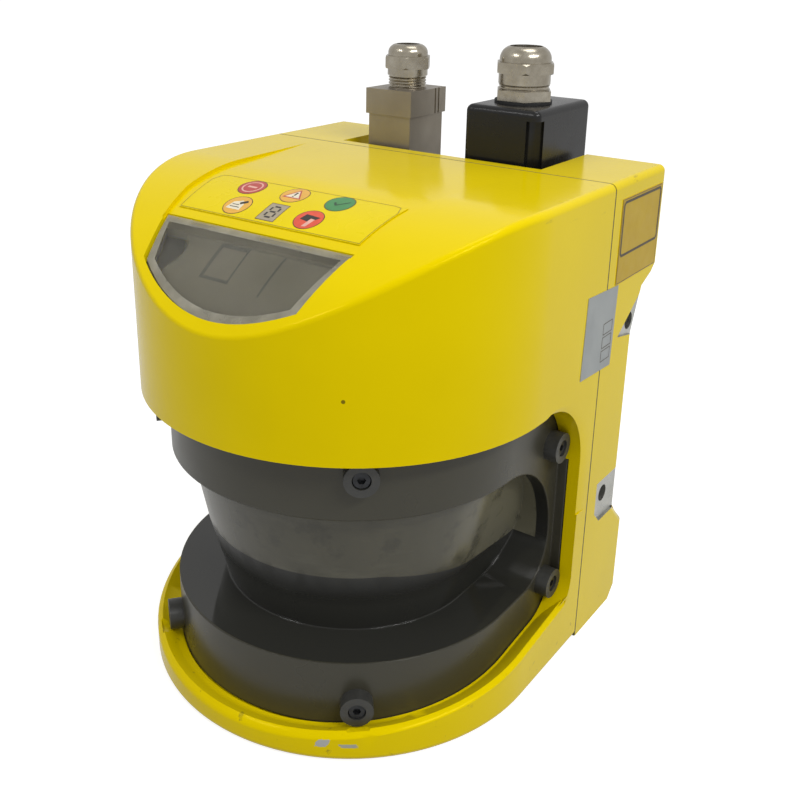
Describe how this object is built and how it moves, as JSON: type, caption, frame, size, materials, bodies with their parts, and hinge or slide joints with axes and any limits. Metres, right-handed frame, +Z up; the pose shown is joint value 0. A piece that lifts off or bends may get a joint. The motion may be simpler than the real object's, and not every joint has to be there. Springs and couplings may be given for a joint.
{
  "type": "safety laser scanner",
  "caption": "Yellow safety laser scanner with a hollow head over a recessed scan gap, a rounded base rim, a rear shell with a plug bay, plugs with glands and a rotating mirror inside.",
  "frame": {"origin": "where the vertical scan axis meets the base plane", "axes": "+Z up along the scan axis, -Y towards the front with the display, +X to the right seen from behind"},
  "size_m": [0.1553, 0.1765, 0.2258],
  "materials": {
    "yellow_paint": "glossy paint over a cast shell",
    "dark_cover": "glossy dark moulding",
    "dark_matte": "satin dark moulding",
    "steel": "bright steel",
    "rubber": "matt rubber",
    "clear": "clear moulded pane",
    "grey_tray": "satin grey moulding",
    "display": "grey display face",
    "foil": "printed foil",
    "amber_foil": "bare amber foil",
    "grey_foil": "bare grey sticker",
    "board": "green circuit board",
    "cast_hood": "satin die casting",
    "black_hood": "glossy black moulding",
    "nickel": "bright nickel plating",
    "contact_block": "matt dark insulator",
    "turned_metal": "turned metal",
    "motor": "satin steel",
    "mirror": "polished mirror",
    "lens": "dark red filter glass"
  },
  "bodies": {
    "housing": {"front_housing": "yellow_paint", "rear_housing": "yellow_paint", "housing_gasket": "rubber", "optics_cover": "dark_cover", "cover_seal": "rubber", "cover_screw_bushes": "dark_matte", "cover_screws": "steel", "display_window": "clear", "light_guide": "grey_tray", "digit_display": "display", "icon_label": "foil", "status_lamps": "clear", "side_label": "amber_foil", "inspection_sticker": "grey_foil", "small_hood_front": "cast_hood", "small_hood_rear": "cast_hood", "small_gland_body": "nickel", "small_gland_nut": "nickel", "small_gland_seal": "rubber", "large_hood": "black_hood", "large_hood_screws": "steel", "large_gland_washer": "rubber", "large_gland_body": "nickel", "large_gland_nut": "nickel", "large_gland_seal": "rubber", "small_socket": "contact_block", "small_plug": "contact_block", "large_socket": "contact_block", "large_plug": "contact_block", "optics_plate": "turned_metal", "receiver_lens": "lens", "laser_module": "turned_metal", "receiver_board": "board", "indicator_board": "board", "board_posts": "steel", "motor_bracket": "turned_metal", "scan_motor": "motor", "light_barrier": "contact_block", "main_board": "board", "main_board_posts": "steel", "housing_screws": "steel"},
    "rotor": {"rotor_shaft": "steel", "encoder_disc": "turned_metal", "mirror_holder": "turned_metal", "scan_mirror": "mirror"}
  },
  "joints": [
    {"name": "mirror_spin", "type": "hinge", "parent": "housing", "child": "rotor", "pos_m": [0, 0, 0.03], "axis": [0, 0, 1], "continuous": true}
  ]
}
